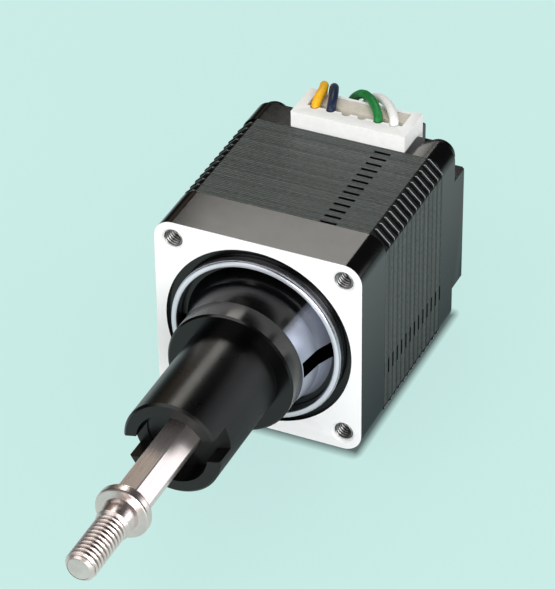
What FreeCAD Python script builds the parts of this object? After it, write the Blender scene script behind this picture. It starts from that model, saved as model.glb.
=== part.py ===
import FreeCAD, Part
import math
import os

# Captive linear actuator on a 28 mm square stepper motor, in millimetres.
# The origin is the centre of the front mounting face. The output shaft points to -Y,
# the connector is on the +Z side, and the motor lies on its -Z side.
# Angles are counted from +X towards +Z, as seen from the front.

# Motor body
body_width = 28.0
front_cap_length = 7.5
rear_cap_length = 8.0
lamination_thickness = 0.356
lamination_count = 52
cap_corner_radius = 2.5

# Front mount
mount_inset = 2.5
mount_thread_d = 2.5
mount_hole_depth = 5.0
mount_countersink = 0.3
face_land = 1.35
pilot_height = 1.1
pilot_wall = 0.95
pilot_lip_radius = 0.4
groove_width = 1.05
groove_depth = 0.6
pilot_undercut = 0.15

# Anti-rotation sleeve
sleeve_seat_depth = 2.2
sleeve_seat_clearance = 0.1
snap_bead_height = 0.35
snap_bead_width = 0.6
snap_bead_setback = 0.9
drum_gap = 0.7
drum_back_depth = 0.4
drum_bend_length = 1.7
drum_flare = 0.95
drum_length = 5.35
drum_taper = 0.6
drum_wall = 1.9
drum_slot_width = 2.2
drum_slot_length = 5.0
drum_slot_count = 2
drum_slot_angle = 4.0
collar_step = 0.1
collar_length = 3.05
collar_chamfer = 0.25
guide_tube_d = 12.8
guide_tube_length = 16.3
guide_tube_chamfer = 0.3
tip_counterbore_d = 9.4
tip_counterbore_depth = 3.2
tip_notch_width = 3.0
tip_notch_depth = 3.0
tip_notch_angle = 13.0
guide_boss_wall = 1.9
guide_boss_length = 0.85
hex_clearance = 0.06

# Output shaft and lead screw
hex_across_flats = 4.4
hex_angle = 7.5
stroke = 12.7
collar_gap = 12.1
stop_collar_d = 7.0
stop_collar_length = 1.2
stop_collar_edge = 0.25
neck_d = 4.4
neck_length = 2.6
stud_d = 4.0
stud_length = 8.2
stud_chamfer = 0.5
stop_gap = 0.2
stop_ring_gap = 0.3
stop_ring_length = 0.8
screw_d = 4.76
screw_spigot_d = 3.0
screw_spigot_length = 6.0
screw_nut_engagement = 6.9
join_pin_d = 1.0

# Rotor
rotor_tooth_count = 50
tooth_depth = 0.5
tooth_share = 0.5
core_length = 6.4
magnet_length = 1.6
magnet_undercut = 0.6
hub_shoulder = 0.5
hub_wall = 0.75
hub_overhang = 0.3
nut_length = 13.0
nut_gap = 0.3
screw_clearance = 0.05
air_gap = 0.1

# Bearings
bearing_bore = 8.0
bearing_od = 16.0
bearing_width = 4.0
ball_share = 0.595
ball_count = 7
land_share = 0.25
race_clearance = 0.03
cage_wall = 0.8
cage_side = 0.3
cage_clearance = 0.08
seat_clearance = 0.01
bearing_seat_web = 0.8
bearing_seat_wall = 0.9
washer_wave = 0.35
washer_thickness = 0.25
washer_width = 1.4
washer_wave_count = 3

# Stator
pole_count = 8
pole_width = 2.6
pole_teeth = 6
shoe_thickness = 1.2
insulator_thickness = 0.35
insulator_rim = 0.6
coil_thickness = 1.0
coil_height = 2.1
coil_liner = 0.25
coil_radial_gap = 0.3
coil_seat_gap = 0.19
winding_room = 0.4
side_notch_length = 2.2
side_notch_offset = 6.2
side_notch_depth = 0.5
corner_ridge_chamfer = 1.7
corner_valley_chamfer = 2.2

# Rear cap and clamping screws
rear_hole_d = 6.8
rear_dish_d = 13.0
rear_dish_depth = 0.5
rear_edge_chamfer = 0.4
screw_pocket_width = 5.6
screw_pocket_depth = 3.7
screw_pocket_radius = 2.0
screw_thread_d = 2.0
screw_thread_clearance = 0.05
screw_hole_clearance = 0.2
screw_head_d = 4.0
screw_head_height = 1.6
screw_head_edge = 0.4
screw_tip_gap = 0.2

# Connector
pin_count = 6
pin_spacing = 2.2
pin_width = 0.5
wired_places = (0, 1, 4, 5)
header_offset = 0.8
header_end_wall = 1.3
header_rise = 2.3
header_floor = 1.0
header_lip_front = 0.05
header_lip_room = 0.6
header_rear_wall = 0.5
header_depth = 6.2
header_front_wall = 0.9
plug_clearance = 0.05
plug_recess = 0.25
plug_bevel = 1.15
row_setback = 2.3
lead_entry_depth = 1.9
channel_clearance = 0.01
contact_width = 0.84
contact_wall = 0.15
contact_lift = 0.3
board_thickness = 0.6
board_margin = 0.3
board_gap = 1.0
window_clearance = 0.1

# Leads: each route is a list of points chosen by hand, from the plug to the coil
lead_d = 1.2
coil_centre_x = -14.5
coil_centre_y = 49.2
coil_mid_outer_radius = 11.0
coil_mid_inner_radius = 4.4
coil_layer_step = 1.25
coil_lift = 0.3
tie_width = 2.0
tie_thickness = 0.3
tie_angle = 60.0
lead_routes = {
    "lead_wire_yellow": [
        (-4.7, 28.31, 14.4), (-4.7, 28.31, 15.7), (-4.8, 29.25, 16.75), (-5.1, 32.1, 16.75),
        (-6.2, 34.8, 15.7), (-7.0, 35.9, 12.9), (-7.5, 36.4, 8.2), (-7.6, 37.1, 2.6),
        (-7.65, 38.0, -2.3), (-8.3, 38.2, -6.2), (-10.6, 38.2, -8.8), (-14.5, 38.2, -9.35)],
    "lead_wire_navy": [
        (-2.5, 28.31, 14.4), (-2.5, 28.31, 15.7), (-2.7, 29.25, 16.75), (-3.6, 32.1, 16.75),
        (-4.8, 34.8, 15.7), (-5.6, 35.9, 12.9), (-6.0, 36.4, 8.0), (-6.1, 37.1, 2.0),
        (-6.15, 38.0, -3.4), (-6.8, 38.2, -7.4), (-9.1, 38.2, -10.0), (-12.6, 38.15, -10.62),
        (-14.5, 38.2, -10.6)],
    "lead_wire_green": [
        (4.1, 28.31, 14.4), (4.1, 28.31, 15.7), (3.75, 29.25, 16.75), (1.7, 32.1, 16.75),
        (-1.0, 34.8, 15.7), (-3.2, 35.9, 12.9), (-4.3, 36.4, 7.8), (-4.6, 37.1, 1.4),
        (-4.65, 38.0, -4.5), (-5.3, 38.2, -8.6), (-7.6, 38.2, -11.2), (-11.2, 38.15, -11.87),
        (-14.5, 38.2, -11.85)],
    "lead_wire_white": [
        (6.3, 28.31, 14.4), (6.3, 28.31, 15.7), (5.95, 29.25, 16.75), (4.0, 32.1, 16.75),
        (1.1, 34.8, 15.7), (-1.3, 35.9, 12.9), (-2.7, 36.4, 7.6), (-3.1, 37.1, 0.8),
        (-3.15, 38.0, -5.6), (-3.8, 38.2, -9.8), (-6.1, 38.2, -12.4), (-10.0, 38.15, -13.12),
        (-14.5, 38.2, -13.1)],
}

# Places along the shaft axis, counted from the mounting face
half_width = body_width / 2
mount_spacing = body_width - 2 * mount_inset
stack_length = lamination_thickness * lamination_count
stack_front = front_cap_length
stack_back = stack_front + stack_length
body_back = stack_back + rear_cap_length
drum_front = -drum_length
collar_front = drum_front - collar_length
tube_front = collar_front - guide_tube_length
hex_front = tube_front - collar_gap
stud_root = hex_front - stop_collar_length - neck_length
stud_tip = stud_root - stud_length
front_bearing_front = sleeve_seat_depth + bearing_seat_web
front_bearing_back = front_bearing_front + bearing_width
rear_bearing_front = stack_back + front_cap_length - front_bearing_back
rear_bearing_back = rear_bearing_front + bearing_width
rotor_middle = (front_bearing_back + rear_bearing_front) / 2
guide_back = drum_front + drum_wall + guide_boss_length
hex_back = guide_back + stop_gap
winding_depth = insulator_thickness + coil_thickness + winding_room

# Radii of the pilot and the sleeve, from the body's sides inwards
pilot_radius = half_width - face_land - groove_width
pilot_bore_radius = pilot_radius - pilot_wall
drum_back_radius = pilot_bore_radius - drum_gap
drum_bend_radius = drum_back_radius - drum_flare
drum_front_radius = drum_bend_radius - drum_taper
collar_radius = drum_front_radius + collar_step

# Radii of the clamping screws and the holes they pass through
screw_shank_radius = screw_thread_d / 2 - screw_thread_clearance
screw_hole_radius = screw_thread_d / 2 + screw_hole_clearance

# Radii of the hub, the bearings, the stator and the rotor, from the bearings outwards
hub_core_radius = bearing_bore / 2 + hub_shoulder
hub_bore_radius = bearing_bore / 2 - hub_wall
bearing_seat_radius = bearing_od / 2 + seat_clearance
bearing_pitch_radius = (bearing_bore + bearing_od) / 4
bearing_section = (bearing_od - bearing_bore) / 2
ball_d = ball_share * bearing_section
race_land = land_share * bearing_section
seat_wall_radius = bearing_seat_radius + bearing_seat_wall
coil_inner_radius = seat_wall_radius + coil_seat_gap
coil_outer_radius = coil_inner_radius + coil_height
yoke_inner_radius = coil_outer_radius + coil_radial_gap + insulator_rim / 2
winding_room_radius = yoke_inner_radius + winding_room
shoe_radius = coil_inner_radius - coil_radial_gap
stator_bore_radius = shoe_radius - shoe_thickness
rotor_radius = stator_bore_radius - air_gap
tooth_pitch = 360.0 / rotor_tooth_count

# Connector places
header_length = (pin_count - 1) * pin_spacing + 2 * (pin_spacing / 2 + header_end_wall)
header_left = header_offset - header_length / 2
header_right = header_offset + header_length / 2
header_top = half_width + header_rise
header_bottom = bearing_od / 2 + board_gap + board_thickness
header_middle = (header_bottom + header_top) / 2
header_front = stack_back + header_lip_front
header_back = stack_back + header_depth
row_y = stack_back + row_setback
lead_radius = lead_d / 2
channel_radius = lead_radius + channel_clearance

origin = FreeCAD.Vector(0, 0, 0)
along = FreeCAD.Vector(0, 1, 0)
upward = FreeCAD.Vector(0, 0, 1)


def rod(radius, y0, y1):
    return Part.makeCylinder(radius, y1 - y0, FreeCAD.Vector(0, y0, 0), along)


def ring(outer, inner, y0, y1):
    return rod(outer, y0, y1).cut(rod(inner, y0, y1))


def block(x0, x1, y0, y1, z0, z1):
    return Part.makeBox(x1 - x0, y1 - y0, z1 - z0, FreeCAD.Vector(x0, y0, z0))


def post(x, y, radius, z0, z1):
    return Part.makeCylinder(radius, z1 - z0, FreeCAD.Vector(x, y, z0), upward)


def turned(profile):
    """Solid of revolution about the shaft axis, from (radius, y) pairs."""
    points = [FreeCAD.Vector(radius, y, 0) for radius, y in profile]
    return Part.Face(Part.makePolygon(points + points[:1])).revolve(origin, along, 360)


def prism(outline, y0, y1):
    """Straight bar along the shaft axis, from (x, z) pairs."""
    points = [FreeCAD.Vector(x, y0, z) for x, z in outline]
    return Part.Face(Part.makePolygon(points + points[:1])).extrude(along * (y1 - y0))


def turn(shape, angle):
    """Copy of a shape, turned about the shaft axis from +X towards +Z."""
    copy = shape.copy()
    copy.rotate(origin, along, -angle)
    return copy


def around(shape, count, first=0.0):
    return [turn(shape, first + 360.0 * index / count) for index in range(count)]


def edges_along(shape, direction):
    """Straight edges of a shape that run along a direction."""
    lines = [edge for edge in shape.Edges if edge.Curve.TypeId == "Part::GeomLine"]
    return [edge for edge in lines if edge.Curve.Direction.cross(direction).Length < 1e-6]


def flat_edges(shape, y, low, high):
    """Edges that lie in the plane at y, between two distances from the shaft axis."""
    found = []
    for edge in shape.Edges:
        bounds = edge.BoundBox
        middle = edge.valueAt((edge.FirstParameter + edge.LastParameter) / 2)
        radius = math.hypot(middle.x, middle.z)
        if bounds.YLength < 1e-6 and abs(bounds.YMin - y) < 1e-6 and low < radius < high:
            found.append(edge)
    return found


def rounded_bar(width, radius, y0, y1):
    bar = block(-width / 2, width / 2, y0, y1, -width / 2, width / 2)
    return bar.makeFillet(radius, edges_along(bar, along))


def hexagon(across_flats, y0, y1):
    """Hexagonal bar with a flat turned by hex_angle from the top."""
    reach = across_flats / math.sqrt(3)
    corners = [math.radians(hex_angle + 60 * index) for index in range(6)]
    return prism([(reach * math.cos(a), reach * math.sin(a)) for a in corners], y0, y1)


def at_corners(shape, spacing):
    """One copy of a shape at each corner of a square round the shaft axis."""
    copies = []
    for x in (-spacing / 2, spacing / 2):
        for z in (-spacing / 2, spacing / 2):
            copies.append(shape.translated(FreeCAD.Vector(x, 0, z)))
    return copies


def front_cap():
    """Cast cap: machined face, turned pilot ring, bearing seat and room for the windings."""
    cap = rounded_bar(body_width, cap_corner_radius, 0, front_cap_length)
    cap = cap.fuse(ring(pilot_radius, pilot_bore_radius, -pilot_height, 0))
    groove_radius = pilot_radius + groove_width
    bead_radius = pilot_bore_radius + snap_bead_height
    bead_back = snap_bead_setback + snap_bead_width
    winding_front = front_cap_length - winding_depth
    hole = rod(mount_thread_d / 2, 0, mount_hole_depth)
    screw_thread = rod(screw_thread_d / 2, mount_hole_depth, front_cap_length)
    mouth = Part.makeCone(
        mount_thread_d / 2 + mount_countersink, mount_thread_d / 2, mount_countersink, origin, along)
    cap = cap.cut([
        ring(groove_radius, pilot_radius - pilot_undercut, 0, groove_depth),
        rod(pilot_bore_radius, 0, sleeve_seat_depth),
        rod(bead_radius, snap_bead_setback, bead_back),
        rod(bearing_od / 2 - race_land, sleeve_seat_depth, front_bearing_front),
        rod(bearing_seat_radius, front_bearing_front, front_cap_length),
        ring(winding_room_radius, seat_wall_radius, winding_front, front_cap_length),
        rod(winding_room_radius, front_bearing_back, front_cap_length),
    ])
    for cut in (hole, mouth, screw_thread):
        cap = cap.cut(at_corners(cut, mount_spacing))
    lip = flat_edges(cap, -pilot_height, 0, pilot_radius + 0.01)
    return cap.makeFillet(pilot_lip_radius, lip)


def anti_rotation_sleeve():
    """Moulded sleeve: slotted snap drum, collar and hexagonal guide tube."""
    seat_radius = pilot_bore_radius - sleeve_seat_clearance
    bead_radius = seat_radius + snap_bead_height
    bead_front = snap_bead_setback + sleeve_seat_clearance
    bead_back = bead_front + snap_bead_width - 2 * sleeve_seat_clearance
    tube_radius = guide_tube_d / 2
    sleeve = turned([
        (0, sleeve_seat_depth), (seat_radius, sleeve_seat_depth),
        (seat_radius, bead_back), (bead_radius, bead_back),
        (bead_radius, bead_front), (seat_radius, bead_front),
        (seat_radius, drum_back_depth), (drum_back_radius, drum_back_depth),
        (drum_bend_radius, -drum_bend_length), (drum_front_radius, drum_front),
        (collar_radius, drum_front), (collar_radius, collar_front + collar_chamfer),
        (collar_radius - collar_chamfer, collar_front), (tube_radius, collar_front),
        (tube_radius, tube_front + guide_tube_chamfer),
        (tube_radius - guide_tube_chamfer, tube_front), (0, tube_front),
    ])
    cavity_radius = drum_front_radius - drum_wall
    cavity_front = drum_front + drum_wall
    boss_radius = hex_across_flats / math.sqrt(3) + hex_clearance + guide_boss_wall
    slot = block(
        cavity_radius - drum_wall / 2, pilot_bore_radius, -drum_slot_length, sleeve_seat_depth,
        -drum_slot_width / 2, drum_slot_width / 2)
    notch = block(
        tip_counterbore_d / 4, guide_tube_d, tube_front, tube_front + tip_notch_depth,
        -tip_notch_width / 2, tip_notch_width / 2)
    return sleeve.cut([
        rod(cavity_radius, guide_back, sleeve_seat_depth),
        ring(cavity_radius, boss_radius, cavity_front, guide_back),
        hexagon(hex_across_flats + 2 * hex_clearance, tube_front, guide_back),
        rod(tip_counterbore_d / 2, tube_front, tube_front + tip_counterbore_depth),
    ] + around(slot, drum_slot_count, drum_slot_angle) + around(notch, 2, tip_notch_angle))


def output_shaft():
    """Hexagonal shaft with its collar, neck and stud, bored behind for the screw."""
    collar_radius_here = stop_collar_d / 2
    collar_face = hex_front - stop_collar_length
    head = turned([
        (0, hex_front), (collar_radius_here - stop_collar_edge, hex_front),
        (collar_radius_here, hex_front - stop_collar_edge),
        (collar_radius_here, collar_face + stop_collar_edge),
        (collar_radius_here - stop_collar_edge, collar_face), (neck_d / 2, collar_face),
        (neck_d / 2, stud_root), (stud_d / 2, stud_root), (stud_d / 2, stud_tip + stud_chamfer),
        (stud_d / 2 - stud_chamfer, stud_tip), (0, stud_tip),
    ])
    shaft = head.fuse(hexagon(hex_across_flats, hex_front, hex_back)).removeSplitter()
    return shaft.cut([rod(screw_spigot_d / 2, hex_back - screw_spigot_length, hex_back), join_pin()])


def join_pin():
    """Cross pin through the hexagon and the screw's spigot."""
    middle = hex_back - screw_spigot_length / 2
    length = hex_across_flats
    pin = Part.makeCylinder(join_pin_d / 2, length, FreeCAD.Vector(0, middle, -length / 2), upward)
    return turn(pin, hex_angle)


def lead_screw():
    """Screw behind the hexagon. It reaches into the nut also when the shaft is out."""
    screw_back = nut_front() + screw_nut_engagement
    screw = rod(screw_d / 2, hex_back, screw_back)
    screw = screw.fuse(rod(screw_spigot_d / 2, hex_back - screw_spigot_length, hex_back))
    return screw.removeSplitter().cut(join_pin())


def stop_ring():
    return ring(hub_bore_radius - stop_ring_gap, screw_d / 2, hex_back, hex_back + stop_ring_length)


def nut_front():
    """The nut starts just behind the stop ring of the fully retracted shaft."""
    return hex_back + stop_ring_length + stroke + nut_gap


def rotor_hub():
    """Hollow hub with a bearing seat at each end and a thicker middle for the cores."""
    seat_radius = bearing_bore / 2 - seat_clearance
    return turned([
        (hub_bore_radius, front_bearing_front - hub_overhang),
        (seat_radius, front_bearing_front - hub_overhang),
        (seat_radius, front_bearing_back), (hub_core_radius, front_bearing_back),
        (hub_core_radius, rear_bearing_front), (seat_radius, rear_bearing_front),
        (seat_radius, rear_bearing_back + hub_overhang),
        (hub_bore_radius, rear_bearing_back + hub_overhang),
    ])


def rotor_nut():
    return ring(hub_bore_radius, screw_d / 2 + screw_clearance, nut_front(), nut_front() + nut_length)


def rotor_core(y0, first_angle):
    """Toothed core, with the middle of a tooth at first_angle."""
    outline = []
    root = rotor_radius - tooth_depth
    half = tooth_pitch * tooth_share / 2
    for index in range(rotor_tooth_count):
        middle = first_angle + tooth_pitch * index
        for radius, offset in ((root, -half), (rotor_radius, -half), (rotor_radius, half), (root, half)):
            angle = math.radians(middle + offset)
            outline.append((radius * math.cos(angle), radius * math.sin(angle)))
    return prism(outline, y0, y0 + core_length).cut(rod(hub_core_radius, y0, y0 + core_length))


def rotor_magnet():
    front = rotor_middle - magnet_length / 2
    radius = rotor_radius - tooth_depth - magnet_undercut
    return ring(radius, hub_core_radius, front, front + magnet_length)


def bearing(front):
    """Outer ring, inner ring, balls and cage of one ball bearing."""
    back = front + bearing_width
    middle = (front + back) / 2
    race_radius = ball_d / 2 + race_clearance
    race = Part.makeTorus(bearing_pitch_radius, race_radius, FreeCAD.Vector(0, middle, 0), along)
    outer = ring(bearing_od / 2, bearing_pitch_radius + race_land, front, back).cut(race)
    inner = ring(bearing_pitch_radius - race_land, bearing_bore / 2, front, back).cut(race)
    ball = Part.makeSphere(ball_d / 2, FreeCAD.Vector(bearing_pitch_radius, middle, 0))
    pocket = Part.makeCylinder(
        ball_d / 2 + cage_clearance, bearing_od, FreeCAD.Vector(0, middle, 0), FreeCAD.Vector(1, 0, 0))
    cage_half = ball_d / 2 + cage_clearance + cage_side
    cage = ring(
        bearing_pitch_radius + cage_wall / 2, bearing_pitch_radius - cage_wall / 2,
        middle - cage_half, middle + cage_half)
    cage = cage.cut(around(pocket, ball_count))
    return outer, inner, Part.makeCompound(around(ball, ball_count)), cage


def wave_washer():
    """Preload spring: a flat ring pressed into waves, behind the rear bearing."""
    outer_radius = bearing_od / 2
    step_count = 8 * washer_wave_count
    rims = []
    for radius in (outer_radius - washer_width, outer_radius):
        points = []
        for step in range(step_count):
            angle = 2 * math.pi * step / step_count
            height = washer_wave * (1 - math.cos(washer_wave_count * angle)) / 2
            points.append(FreeCAD.Vector(
                radius * math.cos(angle), rear_bearing_back + height, radius * math.sin(angle)))
        curve = Part.BSplineCurve()
        curve.interpolate(points, PeriodicFlag=True)
        rims.append(curve.toShape())
    return Part.makeRuledSurface(rims[0], rims[1]).extrude(along * washer_thickness)


def pole(index_angle):
    """One pole with its shoe, before the teeth are cut."""
    bar = block(
        stator_bore_radius, yoke_inner_radius + shoe_thickness, stack_front, stack_back,
        -pole_width / 2, pole_width / 2)
    half = math.radians(tooth_pitch * (pole_teeth - tooth_share) / 2)
    far = body_width
    wedge = prism(
        [(0, 0), (far * math.cos(half), -far * math.sin(half)), (far * math.cos(half), far * math.sin(half))],
        stack_front, stack_back)
    shoe = ring(shoe_radius, stator_bore_radius, stack_front, stack_back).common(wedge)
    return turn(bar.fuse(shoe), index_angle)


def stator_core():
    """Sheet stack: square yoke, eight toothed poles, side notches and corner ridges."""
    reach = half_width
    cut = corner_ridge_chamfer
    yoke = prism([
        (reach - cut, reach), (reach, reach - cut), (reach, cut - reach), (reach - cut, -reach),
        (cut - reach, -reach), (-reach, cut - reach), (-reach, reach - cut), (cut - reach, reach),
    ], stack_front, stack_back).cut(rod(yoke_inner_radius, stack_front, stack_back))
    poles = [pole(360.0 * index / pole_count) for index in range(pole_count)]
    gap_width = 2 * stator_bore_radius * math.sin(math.radians(tooth_pitch * (1 - tooth_share) / 2))
    gap = block(
        rotor_radius, stator_bore_radius + tooth_depth, stack_front, stack_back,
        -gap_width / 2, gap_width / 2)
    cuts = [rod(stator_bore_radius, stack_front, stack_back)]
    for index in range(pole_count):
        for tooth in range(pole_teeth - 1):
            offset = tooth_pitch * (tooth - (pole_teeth - 2) / 2)
            cuts.append(turn(gap, 360.0 * index / pole_count + offset))
    cuts += at_corners(rod(screw_hole_radius, stack_front, stack_back), mount_spacing)
    core = yoke.fuse(poles).cut(cuts)
    return core.cut(side_notches() + corner_valleys())


def side_notches():
    """Each sheet has one notch. The sheets are turned by quarters, so it shows on every fourth."""
    notches = []
    for sheet in range(lamination_count):
        y0 = stack_front + sheet * lamination_thickness
        notch = block(
            side_notch_offset - side_notch_length / 2, side_notch_offset + side_notch_length / 2,
            y0, y0 + lamination_thickness, half_width - side_notch_depth, half_width)
        notches.append(turn(notch, 90.0 * sheet))
    return notches


def corner_valleys():
    """Three sheets in four have a deeper corner cut, which leaves a ridge on every fourth."""
    near = half_width - corner_valley_chamfer
    valleys = []
    for corner in range(4):
        for group in range(lamination_count // 4):
            y0 = stack_front + (4 * group + corner) * lamination_thickness
            y1 = min(y0 + 3 * lamination_thickness, stack_back)
            wedge = prism([(near, half_width), (half_width, near), (half_width, half_width)], y0, y1)
            valleys.append(turn(wedge, 90.0 * corner))
    return valleys


def insulator(y0, y1):
    """Moulded slot end: a rim round the windings and an arm on every pole."""
    arm = block(
        shoe_radius, yoke_inner_radius, y0, y1, -pole_width / 2 - coil_liner, pole_width / 2 + coil_liner)
    rim = ring(yoke_inner_radius + insulator_rim / 2, yoke_inner_radius - insulator_rim / 2, y0, y1)
    return rim.fuse(around(arm, pole_count)).removeSplitter()


def coil_windings():
    """One coil of wire round each pole, on the insulators."""
    inner = pole_width / 2 + coil_liner
    outer = inner + coil_thickness
    front = stack_front - insulator_thickness
    back = stack_back + insulator_thickness
    coil = block(
        coil_inner_radius, coil_outer_radius, front - coil_thickness, back + coil_thickness, -outer, outer)
    coil = coil.makeFillet(coil_thickness * 0.9, edges_along(coil, FreeCAD.Vector(1, 0, 0)))
    coil = coil.cut(block(coil_inner_radius, coil_outer_radius, front, back, -inner, inner))
    return Part.makeCompound(around(coil, pole_count))


def rear_cap():
    """Cast cap: bearing seat, connector window on top and a pocket for each screw head."""
    cap = rounded_bar(body_width, cap_corner_radius, stack_back, body_back)
    rim = flat_edges(cap, body_back, 0, body_width)
    cap = cap.makeChamfer(rear_edge_chamfer, rim)
    pocket = block(
        half_width - screw_pocket_width, body_width, body_back - screw_pocket_depth, body_back,
        half_width - screw_pocket_width, body_width)
    inner_edge = [
        edge for edge in edges_along(pocket, along)
        if edge.BoundBox.XMax < half_width and edge.BoundBox.ZMax < half_width]
    pocket = pocket.makeFillet(screw_pocket_radius, inner_edge)
    winding_back = stack_back + winding_depth
    washer_room = washer_wave + washer_thickness
    seat_back = rear_bearing_back + washer_room
    window = block(
        header_left - window_clearance, header_right + window_clearance,
        stack_back, header_back + window_clearance, header_bottom - board_thickness, half_width)
    return cap.cut([
        rod(bearing_seat_radius, stack_back, seat_back),
        ring(winding_room_radius, seat_wall_radius, stack_back, winding_back),
        rod(winding_room_radius, stack_back, rear_bearing_front),
        rod(rear_hole_d / 2, seat_back, body_back),
        rod(rear_dish_d / 2, body_back - rear_dish_depth, body_back),
        window,
    ] + around(pocket, 4) + at_corners(rod(screw_hole_radius, stack_back, body_back), mount_spacing))


def through_screws():
    """Four long screws, from the pockets of the rear cap into the front cap's threads."""
    seat = body_back - screw_pocket_depth
    tip = mount_hole_depth + screw_tip_gap
    screw = turned([
        (0, tip), (screw_shank_radius, tip), (screw_shank_radius, seat),
        (screw_head_d / 2, seat), (screw_head_d / 2, seat + screw_head_height - screw_head_edge),
        (screw_head_d / 2 - screw_head_edge, seat + screw_head_height), (0, seat + screw_head_height),
    ])
    return Part.makeCompound(at_corners(screw, mount_spacing))


def place_x(place):
    return header_offset + (place - (pin_count - 1) / 2) * pin_spacing


def channels(places, z0, z1):
    """Round channels for contacts and leads, on the plane where header and plug meet."""
    return [post(place_x(place), row_y, channel_radius, z0, z1) for place in places]


def square_pins(places, width, z0, z1):
    half = width / 2
    return [
        block(place_x(p) - half, place_x(p) + half, row_y - half, row_y + half, z0, z1) for p in places]


def connector_header():
    """Shrouded header: thick lip in front, end walls, a low rear wall and a floor."""
    low_front = row_y - header_front_wall
    lip_bottom = winding_room_radius + header_lip_room
    body = block(header_left, header_right, low_front, header_back, header_bottom, header_top)
    lip = block(header_left, header_right, header_front, low_front, lip_bottom, header_top)
    body = body.fuse(lip).removeSplitter()
    inner_left = header_left + header_end_wall
    inner_right = header_right - header_end_wall
    inner_back = header_back - header_rear_wall
    floor_top = header_bottom + header_floor
    cuts = [
        block(inner_left, inner_right, row_y, inner_back, floor_top, header_top),
        block(inner_left, inner_right, inner_back, header_back, header_top - plug_recess, header_top),
    ]
    cuts += channels(range(pin_count), floor_top, header_top)
    cuts += square_pins(range(pin_count), pin_width, header_bottom, floor_top)
    return body.cut(cuts)


def connector_plug():
    """Plug in the header. Its front has a half-round channel for each wired place."""
    plug = block(
        header_left + header_end_wall + plug_clearance, header_right - header_end_wall - plug_clearance,
        row_y + plug_clearance, header_back - header_rear_wall - plug_clearance,
        header_bottom + header_floor, header_top - plug_recess)
    front_rim = [
        edge for edge in edges_along(plug, FreeCAD.Vector(1, 0, 0))
        if edge.BoundBox.YMax < row_y + plug_bevel and edge.BoundBox.ZMin > header_middle]
    plug = plug.makeChamfer(plug_bevel, front_rim)
    cuts = channels(wired_places, header_bottom + header_floor, header_top)
    free_places = [place for place in range(pin_count) if place not in wired_places]
    pin_room = pin_width + 2 * plug_clearance
    cuts += square_pins(free_places, pin_room, header_bottom + header_floor, header_middle + plug_clearance)
    return plug.cut(cuts)


def header_pins():
    return Part.makeCompound(
        square_pins(range(pin_count), pin_width, header_bottom - board_thickness, header_middle))


def plug_contacts():
    """Crimped contacts: each grips a pin below and carries a lead on its closed top."""
    bottom = header_bottom + header_floor + contact_lift
    bodies = square_pins(wired_places, contact_width, bottom, header_top - lead_entry_depth)
    rooms = square_pins(wired_places, contact_width - 2 * contact_wall, bottom, header_middle + contact_lift)
    return Part.makeCompound([body.cut(room) for body, room in zip(bodies, rooms)])


def terminal_board():
    """Small board under the header, which the pins are soldered to."""
    board = block(
        header_left + board_margin, header_right - board_margin,
        row_y - header_front_wall, header_back, header_bottom - board_thickness, header_bottom)
    return board.cut(
        square_pins(range(pin_count), pin_width, header_bottom - board_thickness, header_bottom))


def lead_tube(name):
    """Straight runs joined by tangent arcs, each as large as its two runs allow."""
    points = [FreeCAD.Vector(*point) for point in lead_routes[name]]
    edges = []
    radii = []
    start = points[0]
    for before, corner, after in zip(points, points[1:], points[2:]):
        back = (before - corner).normalize()
        onward = (after - corner).normalize()
        half_turn = (math.pi - back.getAngle(onward)) / 2
        reach = 0.45 * min(before.distanceToPoint(corner), corner.distanceToPoint(after))
        radius = reach / math.tan(half_turn)
        radii.append(round(radius, 1))
        inward = (back + onward).normalize()
        middle = corner + inward * (radius / math.cos(half_turn) - radius)
        arc_start = corner + back * reach
        arc_end = corner + onward * reach
        edges.append(Part.LineSegment(start, arc_start).toShape())
        edges.append(Part.Arc(arc_start, middle, arc_end).toShape())
        start = arc_end
    edges.append(Part.LineSegment(start, points[-1]).toShape())
    path = Part.Wire(edges)
    first_run = (points[1] - points[0]).normalize()
    section = Part.Wire(Part.Circle(points[0], first_run, lead_radius).toShape())
    tube = path.makePipeShell([section], True, False)
    share = tube.Volume / (math.pi * lead_radius ** 2 * path.Length)
    print(name, "radii", radii, "length", round(path.Length, 1), "volume share", round(share, 4))
    return tube


def lead_coil():
    """Outer shape of the put-away length of the four leads, behind the motor."""
    outer = coil_mid_outer_radius + lead_radius
    inner = coil_mid_inner_radius - lead_radius
    bottom = coil_lift - half_width
    top = bottom + lead_d + (len(lead_routes) - 1) * coil_layer_step
    coil = post(coil_centre_x, coil_centre_y, outer, bottom, top)
    return coil.cut(post(coil_centre_x, coil_centre_y, inner, bottom, top))


def lead_tie():
    """Flat tie round the coil's section, which also lies under the coil."""
    coil = lead_coil()
    bounds = coil.BoundBox
    inner = coil_mid_inner_radius - lead_radius - tie_thickness
    outer = coil_mid_outer_radius + lead_radius + tie_thickness
    tie = block(
        inner, outer, -tie_width / 2, tie_width / 2, bounds.ZMin - tie_thickness, bounds.ZMax + tie_thickness)
    tie.rotate(origin, upward, tie_angle)
    tie.translate(FreeCAD.Vector(coil_centre_x, coil_centre_y, 0))
    return tie.cut(coil)


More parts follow.
